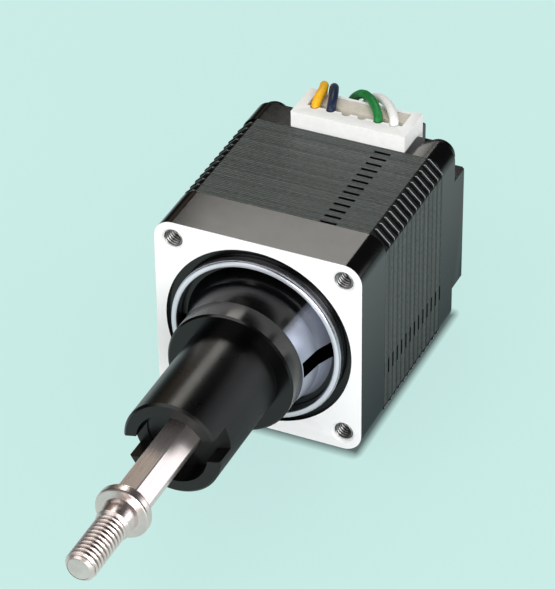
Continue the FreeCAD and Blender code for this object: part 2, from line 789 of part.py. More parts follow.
def all_nodes():
    front_outer, front_inner, front_balls, front_cage = bearing(front_bearing_front)
    rear_outer, rear_inner, rear_balls, rear_cage = bearing(rear_bearing_front)
    nodes = {
        "front_cap": front_cap(),
        "anti_rotation_sleeve": anti_rotation_sleeve(),
        "stator_core": stator_core(),
        "front_insulator": insulator(stack_front - insulator_thickness, stack_front),
        "rear_insulator": insulator(stack_back, stack_back + insulator_thickness),
        "coil_windings": coil_windings(),
        "rear_cap": rear_cap(),
        "through_screws": through_screws(),
        "front_bearing_outer_ring": front_outer,
        "front_bearing_inner_ring": front_inner,
        "front_bearing_balls": front_balls,
        "front_bearing_cage": front_cage,
        "rear_bearing_outer_ring": rear_outer,
        "rear_bearing_inner_ring": rear_inner,
        "rear_bearing_balls": rear_balls,
        "rear_bearing_cage": rear_cage,
        "wave_washer": wave_washer(),
        "rotor_hub": rotor_hub(),
        "rotor_nut": rotor_nut(),
        "rotor_front_core": rotor_core(rotor_middle - magnet_length / 2 - core_length, 0),
        "rotor_magnet": rotor_magnet(),
        "rotor_rear_core": rotor_core(rotor_middle + magnet_length / 2, tooth_pitch / 2),
        "output_shaft": output_shaft(),
        "lead_screw": lead_screw(),
        "join_pin": join_pin(),
        "stop_ring": stop_ring(),
        "connector_header": connector_header(),
        "connector_plug": connector_plug(),
        "header_pins": header_pins(),
        "plug_contacts": plug_contacts(),
        "terminal_board": terminal_board(),
        "lead_coil": lead_coil(),
        "lead_tie": lead_tie(),
    }
    for name in lead_routes:
        nodes[name] = lead_tube(name)
    return nodes


os.makedirs("parts", exist_ok=True)
for node_name, node_shape in all_nodes().items():
    node_shape.exportStep("parts/" + node_name + ".step")
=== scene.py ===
import math

import bmesh
import bpy
from mathutils import Matrix, Vector


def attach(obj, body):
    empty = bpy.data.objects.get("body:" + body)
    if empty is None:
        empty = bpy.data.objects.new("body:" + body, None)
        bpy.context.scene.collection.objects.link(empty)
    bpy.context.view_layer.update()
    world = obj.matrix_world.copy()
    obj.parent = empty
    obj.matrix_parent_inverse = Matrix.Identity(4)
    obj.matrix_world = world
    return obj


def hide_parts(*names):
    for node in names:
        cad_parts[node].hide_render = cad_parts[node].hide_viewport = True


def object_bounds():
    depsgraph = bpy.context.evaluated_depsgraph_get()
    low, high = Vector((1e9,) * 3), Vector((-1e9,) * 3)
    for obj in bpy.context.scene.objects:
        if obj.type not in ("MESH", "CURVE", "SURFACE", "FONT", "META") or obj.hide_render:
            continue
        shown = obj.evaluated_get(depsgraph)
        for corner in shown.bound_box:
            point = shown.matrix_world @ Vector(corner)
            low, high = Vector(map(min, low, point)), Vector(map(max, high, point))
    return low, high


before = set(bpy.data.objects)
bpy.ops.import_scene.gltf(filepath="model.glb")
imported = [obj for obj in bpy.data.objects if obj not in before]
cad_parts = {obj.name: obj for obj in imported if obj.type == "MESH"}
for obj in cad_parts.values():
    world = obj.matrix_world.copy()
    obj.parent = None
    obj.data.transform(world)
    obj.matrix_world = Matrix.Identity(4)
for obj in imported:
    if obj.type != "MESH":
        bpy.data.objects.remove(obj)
cad_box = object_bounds()
scene = bpy.context.scene
scene.view_settings.view_transform = "Standard"

# Camera. A long lens looks down on the actuator from its front right, so that its front face,
# its top and its right side all show. The place and lens give the photograph's own framing.
photo_height_px = 589
focal_length_px = 3274.47
azimuth, elevation, roll = (math.radians(angle) for angle in (24.79, 35.41, -0.73))
camera_distance = 0.40743
aim_right, aim_up = 0.00243, 0.00524
back = Vector((
    math.sin(azimuth) * math.cos(elevation), -math.cos(azimuth) * math.cos(elevation), math.sin(elevation)))
level = Vector((math.cos(azimuth), math.sin(azimuth), 0))
upright = back.cross(level)
right = math.cos(roll) * level + math.sin(roll) * upright
up = math.cos(roll) * upright - math.sin(roll) * level
lens = bpy.data.cameras.new("photo_camera")
lens.sensor_width = 36.0
lens.lens = lens.sensor_width * focal_length_px / photo_height_px
lens.clip_start = 0.01
camera = bpy.data.objects.new("photo_camera", lens)
camera_place = camera_distance * back + aim_right * right + aim_up * up
camera.matrix_world = Matrix.Translation(camera_place) @ Matrix((right, up, back)).transposed().to_4x4()
scene.collection.objects.link(camera)
scene.camera = camera


# Leads. Four stranded copper wires in thin soft insulation leave the plug, bend over its rear wall
# and hang down behind the motor, where the spare length is wound flat into one tied coil.
# Each is cut to 300 mm, and its end is stripped and tinned.
def tone(red, green, blue):
    """Colour for a shader, from the 0 to 255 values of a picture."""
    return tuple((value / 255) ** 2.2 for value in (red, green, blue)) + (1.0,)


def add(tree, kind, values=(), **settings):
    """New node in a tree. A value is a number for the named socket, or the output that feeds it."""
    node = tree.nodes.new(kind)
    for key, setting in settings.items():
        setattr(node, key, setting)
    for socket, value in dict(values).items():
        if isinstance(value, bpy.types.NodeSocket):
            tree.links.new(value, node.inputs[socket])
        else:
            node.inputs[socket].default_value = value
    return node


def math_of(tree, operation, *values):
    """Result of one kind of sum over numbers and outputs, from the first to the last."""
    result = values[0]
    for value in values[1:] or (0.0,):
        result = add(tree, "ShaderNodeMath", {0: result, 1: value}, operation=operation).outputs[0]
    return result


def ramp(tree, value, start, end, at_start=0.0, at_end=1.0):
    """Runs from one number to another while the value goes from start to end."""
    return add(tree, "ShaderNodeMapRange", {0: value, 1: start, 2: end, 3: at_start, 4: at_end}).outputs[0]


def blend(tree, share, first, second):
    """Colour between two others. The share is that of the second."""
    return add(tree, "ShaderNodeMix", {0: share, 6: first, 7: second}, data_type="RGBA").outputs[2]


def feed(tree, sockets):
    """Links outputs to the sockets of a finish's shader."""
    for socket, output in sockets.items():
        tree.links.new(output, tree.nodes["Principled BSDF"].inputs[socket])


def effect(name, inputs, outputs):
    """Empty shader group with named sockets, its input node's outputs and its output node."""
    group = bpy.data.node_groups.new(name, "ShaderNodeTree")
    for socket, kind in inputs:
        group.interface.new_socket(socket, in_out="INPUT", socket_type="NodeSocket" + kind)
    for socket, kind in outputs:
        group.interface.new_socket(socket, in_out="OUTPUT", socket_type="NodeSocket" + kind)
    return group, add(group, "NodeGroupInput").outputs, add(group, "NodeGroupOutput").inputs


def grain_effect():
    """Fine grain with slower clouds, which shifts a finish's colour, gloss and surface."""
    cloud_fineness, relief_depth = 0.12, 0.3
    group, given, result = effect("Fine grain", (
        ("Grain size", "Float"), ("Stretch", "Vector"), ("Dark", "Color"), ("Light", "Color"),
        ("Glossy", "Float"), ("Dull", "Float"), ("Relief", "Float"),
    ), (("Colour", "Color"), ("Roughness", "Float"), ("Normal", "Vector")))
    place = add(group, "ShaderNodeTexCoord").outputs["Object"]
    laid = add(group, "ShaderNodeMapping", {"Vector": place, "Scale": given["Stretch"]}).outputs[0]
    fineness = math_of(group, "DIVIDE", 1.0, given["Grain size"])
    grain = add(group, "ShaderNodeTexNoise", {"Vector": laid, "Scale": fineness, "Detail": 4.0}).outputs[0]
    slow = math_of(group, "MULTIPLY", fineness, cloud_fineness)
    clouds = add(group, "ShaderNodeTexNoise", {"Vector": laid, "Scale": slow, "Detail": 2.0}).outputs[0]
    both = math_of(group, "MULTIPLY", math_of(group, "ADD", grain, clouds), 0.5)
    share = ramp(group, both, 0.35, 0.65)
    colour = blend(group, share, given["Dark"], given["Light"])
    gloss = ramp(group, share, 0.0, 1.0, given["Glossy"], given["Dull"])
    depth = math_of(group, "MULTIPLY", given["Grain size"], relief_depth)
    surface = add(group, "ShaderNodeBump", {
        "Strength": given["Relief"], "Distance": depth, "Height": grain}).outputs[0]
    for socket, value in (("Colour", colour), ("Roughness", gloss), ("Normal", surface)):
        group.links.new(value, result[socket])
    return group


fine_grain = grain_effect()


def grained(name, dark, light, grain_size, glossy, dull, relief=0.15, metallic=0.0, stretch=(1, 1, 1)):
    """Finish that only needs its colours, its gloss and the size of its grain."""
    finish = bpy.data.materials.new(name)
    finish.use_nodes = True
    tree = finish.node_tree
    tree.nodes["Principled BSDF"].inputs["Metallic"].default_value = metallic
    grain = add(tree, "ShaderNodeGroup", {
        "Grain size": grain_size, "Stretch": stretch, "Dark": dark, "Light": light, "Glossy": glossy,
        "Dull": dull, "Relief": relief}, node_tree=fine_grain).outputs
    feed(tree, {"Base Color": grain["Colour"], "Roughness": grain["Roughness"], "Normal": grain["Normal"]})
    return finish


def strand(name, points, diameter, finish):
    """Round wire along a curve through the control points."""
    curve = bpy.data.curves.new(name, "CURVE")
    curve.dimensions = "3D"
    curve.bevel_depth = diameter / 2
    curve.bevel_resolution = 4
    curve.use_fill_caps = True
    curve.resolution_u = 8
    curve.materials.append(finish)
    spline = curve.splines.new("NURBS")
    spline.points.add(len(points) - 1)
    for control, point in zip(spline.points, points):
        control.co = (*point, 1.0)
    spline.order_u = 3
    spline.use_endpoint_u = True
    wire = bpy.data.objects.new(name, curve)
    scene.collection.objects.link(wire)
    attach(wire, "motor")
    return wire


lead_length = 0.300
lead_diameter = 0.0012
strand_diameter = 0.0005
stripped_turn, stripped_steps = 0.14, 4
coil_centre = (-0.0145, 0.0492)
coil_outer_radius = 0.0110
coil_step = 0.00125
points_per_turn = 18
tinned_strands = grained(
    "Tinned strands", tone(150, 150, 148), tone(205, 204, 200), grain_size=0.0001, glossy=0.25, dull=0.4,
    metallic=1.0)
lead_facts = {
    "yellow": (0.0380, tone(226, 158, 6), tone(250, 190, 20), ("lead_wire_yellow", "lead_coil"), [
        (-.0047, .02831, .0144), (-.0047, .02831, .0157), (-.0048, .02925, .01675), (-.0051, .0321, .01675),
        (-.0062, .0348, .0157), (-.0070, .0359, .0129), (-.0075, .0364, .0082), (-.0076, .0371, .0026),
        (-.00765, .0380, -.0023), (-.0083, .0382, -.0062), (-.0106, .0382, -.0088),
        (-.0145, .0382, -.00935)]),
    "navy": (0.0409, tone(28, 36, 58), tone(46, 58, 88), ("lead_wire_navy",), [
        (-.0025, .02831, .0144), (-.0025, .02831, .0157), (-.0027, .02925, .01675), (-.0036, .0321, .01675),
        (-.0048, .0348, .0157), (-.0056, .0359, .0129), (-.0060, .0364, .0080), (-.0061, .0371, .0020),
        (-.00615, .0380, -.0034), (-.0068, .0382, -.0074), (-.0091, .0382, -.0100),
        (-.0126, .03815, -.01062), (-.0145, .0382, -.0106)]),
    "green": (0.0456, tone(14, 104, 44), tone(32, 138, 66), ("lead_wire_green",), [
        (.0041, .02831, .0144), (.0041, .02831, .0157), (.00375, .02925, .01675), (.0017, .0321, .01675),
        (-.0010, .0348, .0157), (-.0032, .0359, .0129), (-.0043, .0364, .0078), (-.0046, .0371, .0014),
        (-.00465, .0380, -.0045), (-.0053, .0382, -.0086), (-.0076, .0382, -.0112),
        (-.0112, .03815, -.01187), (-.0145, .0382, -.01185)]),
    "white": (0.0486, tone(226, 226, 222), tone(244, 244, 241), ("lead_wire_white",), [
        (.0063, .02831, .0144), (.0063, .02831, .0157), (.00595, .02925, .01675), (.0040, .0321, .01675),
        (.0011, .0348, .0157), (-.0013, .0359, .0129), (-.0027, .0364, .0076), (-.0031, .0371, .0008),
        (-.00315, .0380, -.0056), (-.0038, .0382, -.0098), (-.0061, .0382, -.0124),
        (-.0100, .03815, -.01312), (-.0145, .0382, -.0131)]),
}


def coil_point(turn, height):
    """Point on the flat spiral, which starts at the motor's side of the coil and winds inwards."""
    angle = math.radians(-90 - 360 * turn)
    radius = coil_outer_radius - coil_step * turn
    return (coil_centre[0] + radius * math.cos(angle), coil_centre[1] + radius * math.sin(angle), height)


for colour, (free_length, dark, light, stands_for, route) in lead_facts.items():
    inner_radius = math.sqrt(coil_outer_radius ** 2 - coil_step * (lead_length - free_length) / math.pi)
    turn_count = (coil_outer_radius - inner_radius) / coil_step
    steps = round(turn_count * points_per_turn)
    height = route[-1][2]
    turns = [coil_point(turn_count * step / steps, height) for step in range(1, steps + 1)]
    insulation = grained(
        f"{colour.title()} insulation", dark, light, grain_size=0.0004, glossy=0.32, dull=0.48, relief=0.08)
    lead = strand(f"lead_{colour}", route + turns, lead_diameter, insulation)
    tip_turns = [
        turn_count + stripped_turn * step / stripped_steps for step in range(-1, stripped_steps + 1)]
    tip = strand(
        f"lead_{colour}_end", [coil_point(turn, height) for turn in tip_turns], strand_diameter,
        tinned_strands)
    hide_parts(*stands_for)


# Rotor. A hollow steel hub carries two toothed cores of punched sheet with a ring magnet between them,
# and a moulded nut is pressed into its bore. The cores are set half a tooth apart.
def dress(finish, slot, *names):
    """Gives parts of the fixed frame their finish."""
    for name in names:
        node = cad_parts[name]
        node.data.materials.clear()
        node.data.materials.append(finish)


hub_steel = grained(
    "Turned hub steel", tone(120, 122, 124), tone(168, 168, 166), grain_size=0.0002, glossy=0.22,
    dull=0.38, metallic=1.0, stretch=(0.1, 1, 0.1))
core_sheet = grained(
    "Punched core sheet", tone(84, 88, 92), tone(128, 130, 132), grain_size=0.00036, glossy=0.3,
    dull=0.5, metallic=1.0, stretch=(0.05, 1, 0.05))
magnet_plating = grained(
    "Plated magnet", tone(150, 148, 140), tone(186, 184, 176), grain_size=0.0003, glossy=0.16, dull=0.28,
    metallic=1.0)
nut_plastic = grained(
    "Nut plastic", tone(196, 186, 160), tone(216, 208, 186), grain_size=0.0003, glossy=0.4, dull=0.55)
dress(hub_steel, "shaft_steel", "rotor_hub")
dress(core_sheet, "core_sheet", "rotor_front_core", "rotor_rear_core")
dress(magnet_plating, "plated_magnet", "rotor_magnet")
dress(nut_plastic, "nut_plastic", "rotor_nut")

# Bearings. One deep-groove ball bearing at each end of the hub, of ground chrome steel with a moulded
# cage. A wave washer of spring steel presses on the rear one.
race_steel = grained(
    "Ground bearing steel", tone(150, 152, 154), tone(190, 191, 192), grain_size=0.00012, glossy=0.1,
    dull=0.2, relief=0.05, metallic=1.0, stretch=(0.1, 1, 0.1))
cage_plastic = grained(
    "Cage plastic", tone(150, 118, 74), tone(176, 142, 96), grain_size=0.0002, glossy=0.4, dull=0.6)
dress(
    race_steel, "bearing_steel", "front_bearing_outer_ring", "front_bearing_inner_ring",
    "front_bearing_balls", "rear_bearing_outer_ring", "rear_bearing_inner_ring", "rear_bearing_balls")
dress(race_steel, "screw_steel", "wave_washer")
dress(cage_plastic, "cage_plastic", "front_bearing_cage", "rear_bearing_cage")

# Windings. Eight coils of enamelled copper wire, wound by machine, one on each pole of the stack. They sit
# on two moulded insulators, which are pushed onto the stack's ends.
coil_copper = grained(
    "Enamelled copper", tone(120, 52, 20), tone(196, 104, 52), grain_size=0.00018, glossy=0.22, dull=0.4,
    relief=0.5, metallic=0.8, stretch=(1, 0.08, 1))
insulator_plastic = grained(
    "Insulator plastic", tone(208, 205, 192), tone(222, 219, 208), grain_size=0.0003, glossy=0.4, dull=0.6)
dress(coil_copper, "enamelled_copper", "coil_windings")
dress(insulator_plastic, "insulator_plastic", "front_insulator", "rear_insulator")


# Stator stack. Fifty-two punched sheets of coated electrical steel, each turned a quarter from the
# last, so that their notches show as a row of dashes and their corners as a comb. The sheet edges
# are blackened, and each lies a little in or out of line. Painted shade darkens the dashes and the
# comb's valleys, and painted highlights brighten the comb's ridges, mostly on the right-hand side.
def here(tree):
    """X, Y and Z of the shaded place, in the frame's own axes."""
    place = add(tree, "ShaderNodeTexCoord").outputs["Object"]
    return add(tree, "ShaderNodeSeparateXYZ", {0: place}).outputs


def sheet_finish():
    """Blackened edges in rows, with painted shade in the notches' dashes and the comb's valleys, and
    painted highlights on the comb's ridges.
    """
    stack_front, sheet_thickness, half_width = 0.0075, 0.000356, 0.014
    ridge_cut, valley_cut = 0.00195, 0.00225
    notch_offset, notch_reach, notch_depth = 0.0062, 0.00112, 0.0006
    turns, first_turn, dash_reach, seam_turn = 4.0, 1.5, 0.78, 3.0
    drift_fineness, row_drift, scuff_fineness, scuff_stretch = 380.0, 0.35, 1500.0, (1, 7, 1)
    edge_relief, edge_depth = 0.55, 0.00005
    finish = bpy.data.materials.new("Blackened sheet edges")
    finish.use_nodes = True
    tree = finish.node_tree
    place = add(tree, "ShaderNodeTexCoord").outputs["Object"]
    spot = here(tree)
    off_x, off_z = (math_of(tree, "ABSOLUTE", spot[axis]) for axis in ("X", "Z"))
    drift = add(tree, "ShaderNodeTexNoise", {
        "Vector": place, "Scale": drift_fineness, "Detail": 3.0}).outputs[0]
    wander = math_of(tree, "MULTIPLY", math_of(tree, "SUBTRACT", drift, 0.5), row_drift)
    along = math_of(tree, "DIVIDE", math_of(tree, "SUBTRACT", spot["Y"], stack_front), sheet_thickness)
    count = math_of(tree, "ADD", along, wander)
    number = math_of(tree, "FLOOR", count)
    within = math_of(tree, "FRACT", count)
    from_middle = math_of(tree, "ABSOLUTE", math_of(tree, "SUBTRACT", within, 0.5))
    crown = ramp(tree, from_middle, 0.28, 0.5, 1.0, 0.0)
    shade = add(tree, "ShaderNodeTexWhiteNoise", {1: number}, noise_dimensions="1D").outputs[0]
    # Painted shade: each face's notch dashes are darkened, one sheet in four.
    notch_shade = 0.0
    for face, face_sign, run, run_sign, turned in (
            ("Z", 1, "X", 1, 0), ("X", 1, "Z", -1, 3), ("Z", -1, "X", -1, 2), ("X", -1, "Z", 1, 1)):
        outward = math_of(tree, "MULTIPLY", spot[face], face_sign)
        outside = math_of(tree, "GREATER_THAN", outward, half_width - notch_depth)
        off_notch = math_of(tree, "SUBTRACT", math_of(tree, "MULTIPLY", spot[run], run_sign), notch_offset)
        near = math_of(tree, "LESS_THAN", math_of(tree, "ABSOLUTE", off_notch), notch_reach)
        step = math_of(tree, "FLOORED_MODULO", math_of(tree, "ADD", along, first_turn - turned), turns)
        off_sheet = math_of(tree, "ABSOLUTE", math_of(tree, "SUBTRACT", step, turns / 2))
        on_sheet = math_of(tree, "LESS_THAN", off_sheet, dash_reach)
        notch_shade = math_of(tree, "ADD", math_of(tree, "MULTIPLY", outside, near, on_sheet), notch_shade)
    beside = math_of(tree, "GREATER_THAN", off_x, half_width - notch_depth)
    of_four = math_of(tree, "FLOORED_MODULO", count, turns)
    off_seam = math_of(tree, "ABSOLUTE", math_of(tree, "SUBTRACT", of_four, seam_turn))
    seam = math_of(
        tree, "MULTIPLY", ramp(tree, off_seam, 0.25, 0.95, 1.0, 0.0),
        ramp(tree, beside, 0.0, 1.0, 0.15, 0.75))
    laid = add(tree, "ShaderNodeMapping", {"Vector": place, "Scale": scuff_stretch}).outputs[0]
    scuff = add(tree, "ShaderNodeTexNoise", {
        "Vector": laid, "Scale": scuff_fineness, "Detail": 4.0}).outputs[0]
    worn = ramp(tree, scuff, 0.42, 0.72)
    from_corner = math_of(tree, "ADD", off_x, off_z)
    ridge = math_of(tree, "GREATER_THAN", from_corner, 2 * half_width - ridge_cut)
    comb = math_of(tree, "GREATER_THAN", from_corner, 2 * half_width - valley_cut)
    # Painted shade: the comb's recessed valleys are darkened.
    valley_shade = math_of(tree, "SUBTRACT", comb, ridge)
    light = math_of(tree, "MULTIPLY", crown, ramp(tree, shade, 0.0, 1.0, 0.4, 0.7))
    light = math_of(tree, "ADD", light, math_of(tree, "MULTIPLY", worn, 0.4))
    for dark_share in (math_of(tree, "MULTIPLY", valley_shade, 0.9), seam, notch_shade):
        light = math_of(tree, "MULTIPLY", light, math_of(tree, "SUBTRACT", 1.0, dark_share))
    edge_colour = blend(tree, light, tone(8, 9, 9), tone(100, 107, 104))
    thin = ramp(tree, from_middle, 0.08, 0.26, 1.0, 0.0)
    # Painted highlight: pale lines on the comb's ridges, strongest on the right-hand side.
    painted_sheen_side = ramp(tree, spot["X"], -0.002, 0.002, 0.15, 1.0)
    ridge_highlight = math_of(tree, "MULTIPLY", ridge, thin, painted_sheen_side)
    height = math_of(tree, "ADD", crown, math_of(tree, "MULTIPLY", shade, 0.6))
    surface = add(tree, "ShaderNodeBump", {
        "Strength": edge_relief, "Distance": edge_depth, "Height": height}).outputs[0]
    tree.nodes["Principled BSDF"].inputs["Metallic"].default_value = 0.25
    feed(tree, {
        "Base Color": blend(tree, ridge_highlight, edge_colour, tone(176, 182, 184)),
        "Roughness": ramp(tree, worn, 0.0, 1.0, 0.52, 0.38), "Normal": surface})
    return finish


dress(sheet_finish(), "coated_sheet", "stator_core")


# Front cap. An aluminium casting in black paint, with the front face milled bright, a turned pilot
# ring inside a groove that keeps its paint, and a tapped hole in each corner.
def softened(node, name, edge, finish):
    """Copy of a solid of the frame with its edges broken, so that they catch the light."""
    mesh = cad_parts[node].data.copy()
    shape = bmesh.new()
    shape.from_mesh(mesh)
    bmesh.ops.remove_doubles(shape, verts=shape.verts, dist=1e-6)
    bmesh.ops.dissolve_limit(
        shape, angle_limit=math.radians(0.5), verts=shape.verts, edges=shape.edges, delimit={"NORMAL"})
    shape.to_mesh(mesh)
    shape.free()
    mesh.materials.clear()
    mesh.materials.append(finish)
    mesh.shade_smooth()
    mesh.set_sharp_from_angle(angle=math.radians(30))
    piece = bpy.data.objects.new(name, mesh)
    scene.collection.objects.link(piece)
    bevel = piece.modifiers.new("Broken edges", "BEVEL")
    bevel.width = edge
    bevel.segments = 2
    bevel.limit_method = "ANGLE"
    bevel.angle_limit = math.radians(40)
    bevel.harden_normals = True
    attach(piece, "motor")
    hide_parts(node)
    return piece


def across(tree, first, second):
    """Distance in a plane, from its two parts."""
    flat = add(tree, "ShaderNodeCombineXYZ", {0: first, 1: second}).outputs[0]
    return add(tree, "ShaderNodeVectorMath", {0: flat}, operation="LENGTH").outputs["Value"]


def ring_effect():
    """Fine lathe rings about the shaft axis."""
    group, given, result = effect(
        "Lathe rings", (("Ring size", "Float"), ("Relief", "Float")),
        (("Share", "Float"), ("Normal", "Vector")))
    spot = here(group)
    radius = across(group, spot["X"], spot["Z"])
    profile = add(group, "ShaderNodeCombineXYZ", {0: radius, 1: spot["Y"]}).outputs[0]
    fineness = math_of(group, "DIVIDE", 1.0, given["Ring size"])
    rings = add(group, "ShaderNodeTexNoise", {
        "Vector": profile, "Scale": fineness, "Detail": 3.0}).outputs[0]
    surface = add(group, "ShaderNodeBump", {
        "Strength": given["Relief"], "Distance": given["Ring size"], "Height": rings}).outputs[0]
    group.links.new(rings, result["Share"])
    group.links.new(surface, result["Normal"])
    return group


lathe_rings = ring_effect()
mount_spacing = 0.023


def from_hole(tree, spot):
    """Distance from the axis of the nearest mounting hole."""
    return across(tree, *(
        math_of(tree, "SUBTRACT", math_of(tree, "ABSOLUTE", spot[axis]), mount_spacing / 2)
        for axis in ("X", "Z")))


def grain_of(finish):
    """Outputs of the grain that a finish was made with."""
    return next(node for node in finish.node_tree.nodes if node.type == "GROUP").outputs


def cap_finish(name, machined):
    """Black paint. The front cap is bare metal on its milled face, its pilot ring and in its holes, with a
    painted highlight on the pilot ring's front-facing land.
    """
    face_depth, pilot_depth = 0.00006, 0.0004
    groove_outer_radius, pilot_radius, hole_radius = 0.01266, 0.01162, 0.0016
    ring_size, ring_relief, milled_fineness, facing_ahead = 0.00012, 0.35, 180000.0, -0.8
    bare_metallic, ring_metallic, lit_land_loss = 0.2, 0.75, 0.4
    finish = grained(
        name, tone(13, 13, 13), tone(16, 16, 16), grain_size=0.00022, glossy=0.12, dull=0.15, relief=0.03)
    if not machined:
        return finish
    tree = finish.node_tree
    paint = grain_of(finish)
    spot = here(tree)
    radius = across(tree, spot["X"], spot["Z"])
    face = math_of(
        tree, "MULTIPLY", math_of(tree, "LESS_THAN", spot["Y"], face_depth),
        math_of(tree, "GREATER_THAN", radius, groove_outer_radius))
    pilot = math_of(
        tree, "MULTIPLY", math_of(tree, "LESS_THAN", spot["Y"], pilot_depth),
        math_of(tree, "LESS_THAN", radius, pilot_radius))
    hole = math_of(tree, "LESS_THAN", from_hole(tree, spot), hole_radius)
    bare = math_of(tree, "MAXIMUM", face, hole, pilot)
    normal = add(tree, "ShaderNodeNewGeometry").outputs["Normal"]
    lean = add(tree, "ShaderNodeSeparateXYZ", {0: normal}).outputs["Y"]
    ahead = math_of(tree, "LESS_THAN", lean, facing_ahead)
    # Painted highlight: the pilot ring's front-facing land gets a lighter, less metallic copy of the ring's
    # metal.
    lit_land = math_of(tree, "MULTIPLY", pilot, ahead)
    rings = add(tree, "ShaderNodeGroup", {0: ring_size, 1: ring_relief}, node_tree=lathe_rings).outputs
    milled = add(tree, "ShaderNodeTexNoise", {
        "Vector": add(tree, "ShaderNodeTexCoord").outputs["Object"], "Scale": milled_fineness,
        "Detail": 3.0}).outputs[0]
    face_metal = blend(tree, milled, tone(243, 243, 243), tone(251, 251, 251))
    wall_metal = blend(tree, rings["Share"], tone(150, 154, 166), tone(222, 223, 230))
    lit_land_metal = blend(tree, rings["Share"], tone(204, 210, 224), tone(250, 251, 255))
    metal = blend(tree, pilot, face_metal, blend(tree, lit_land, wall_metal, lit_land_metal))
    metal_gloss = ramp(tree, pilot, 0.0, 1.0, 0.55, 0.2)
    metallic = math_of(
        tree, "ADD", math_of(tree, "MULTIPLY", bare, bare_metallic),
        math_of(tree, "MULTIPLY", pilot, ring_metallic), math_of(tree, "MULTIPLY", lit_land, -lit_land_loss))
    feed(tree, {
        "Base Color": blend(tree, bare, paint["Colour"], metal),
        "Roughness": add(tree, "ShaderNodeMix", {
            0: bare, 2: paint["Roughness"], 3: metal_gloss}).outputs[0],
        "Normal": add(tree, "ShaderNodeMix", {
            0: pilot, 4: paint["Normal"], 5: rings["Normal"]}, data_type="VECTOR").outputs[1],
        "Metallic": metallic})
    return finish


softened(
    "front_cap", "front_cap_casting", edge=0.00012,
    finish=cap_finish("Painted and machined cap", machined=True))


# Tapped holes. An M2.5 thread is cut into each corner of the cast front cap, for the screws that hold
# the motor to its mount. The cut metal is bare, with painted shade in the thread's roots that deepens down
# the hole.
def thread_tree():
    """Threaded wall on the shaft axis: a tube whose radius follows the thread's profile."""
    crest_end, root_start = 0.12, 0.8
    tree = bpy.data.node_groups.new("Screw thread", "GeometryNodeTree")
    sockets = (
        ("Crest radius", "Float"), ("Pitch", "Float"), ("Depth", "Float"), ("Length", "Float"),
        ("Middle", "Float"), ("Chamfer", "Float"), ("Rows", "Int"), ("Columns", "Int"), ("Inside", "Bool"),
        ("Finish", "Material"))
    for name, kind in sockets:
        tree.interface.new_socket(name, in_out="INPUT", socket_type="NodeSocket" + kind)
    tree.interface.new_socket("Geometry", in_out="OUTPUT", socket_type="NodeSocketGeometry")
    given = add(tree, "NodeGroupInput").outputs
    tube = add(tree, "GeometryNodeMeshCylinder", {
        "Vertices": given["Columns"], "Side Segments": given["Rows"], "Radius": 1.0,
        "Depth": given["Length"]}, fill_type="NONE").outputs["Mesh"]
    position = add(tree, "GeometryNodeInputPosition").outputs[0]
    spot = add(tree, "ShaderNodeSeparateXYZ", {0: position}).outputs
    turn = math_of(tree, "DIVIDE", math_of(tree, "ARCTAN2", spot["Y"], spot["X"]), 2 * math.pi)
    climb = math_of(tree, "DIVIDE", spot["Z"], given["Pitch"])
    phase = math_of(tree, "FRACT", math_of(tree, "SUBTRACT", climb, turn))
    slope = math_of(tree, "ABSOLUTE", math_of(tree, "SUBTRACT", math_of(tree, "MULTIPLY", phase, 2.0), 1.0))
    sunk = math_of(tree, "MULTIPLY", ramp(tree, slope, crest_end, root_start), given["Depth"])
    to_tip = math_of(tree, "SUBTRACT", math_of(tree, "MULTIPLY", given["Length"], 0.5), spot["Z"])
    limit = math_of(tree, "SUBTRACT", math_of(tree, "ADD", given["Crest radius"], to_tip), given["Chamfer"])
    wall = math_of(tree, "MINIMUM", math_of(tree, "SUBTRACT", given["Crest radius"], sunk), limit)
    moved = add(tree, "ShaderNodeCombineXYZ", {
        0: math_of(tree, "MULTIPLY", spot["X"], wall), 1: math_of(tree, "MULTIPLY", spot["Y"], wall),
        2: spot["Z"]}).outputs[0]
    threaded = add(tree, "GeometryNodeSetPosition", {"Geometry": tube, "Position": moved}).outputs[0]
    faced = add(tree, "GeometryNodeFlipFaces", {0: threaded, 1: given["Inside"]}).outputs[0]
    stood = add(tree, "GeometryNodeTransform", {
        "Geometry": faced, "Rotation": (math.pi / 2, 0, 0),
        "Translation": add(tree, "ShaderNodeCombineXYZ", {1: given["Middle"]}).outputs[0]}).outputs[0]
    painted = add(tree, "GeometryNodeSetMaterial", {
        "Geometry": stood, "Material": given["Finish"]}).outputs[0]
    tree.links.new(painted, add(tree, "NodeGroupOutput").inputs[0])
    return tree


def corner_tree():
    """One copy of the given piece at each corner of a square round the shaft axis."""
    tree = bpy.data.node_groups.new("At four corners", "GeometryNodeTree")
    for name, kind in (("Geometry", "Geometry"), ("Spacing", "Float"), ("Finish", "Material")):
        tree.interface.new_socket(name, in_out="INPUT", socket_type="NodeSocket" + kind)
    tree.interface.new_socket("Geometry", in_out="OUTPUT", socket_type="NodeSocketGeometry")
    given = add(tree, "NodeGroupInput").outputs
    square = add(tree, "GeometryNodeMeshGrid", {
        "Size X": given["Spacing"], "Size Y": given["Spacing"], "Vertices X": 2,
        "Vertices Y": 2}).outputs["Mesh"]
    corners = add(tree, "GeometryNodeTransform", {
        "Geometry": square, "Rotation": (math.pi / 2, 0, 0)}).outputs[0]
    copies = add(tree, "GeometryNodeInstanceOnPoints", {
        "Points": corners, "Instance": given["Geometry"]}).outputs[0]
    made = add(tree, "GeometryNodeRealizeInstances", {0: copies}).outputs[0]
    painted = add(tree, "GeometryNodeSetMaterial", {
        "Geometry": made, "Material": given["Finish"]}).outputs[0]
    tree.links.new(painted, add(tree, "NodeGroupOutput").inputs[0])
    return tree


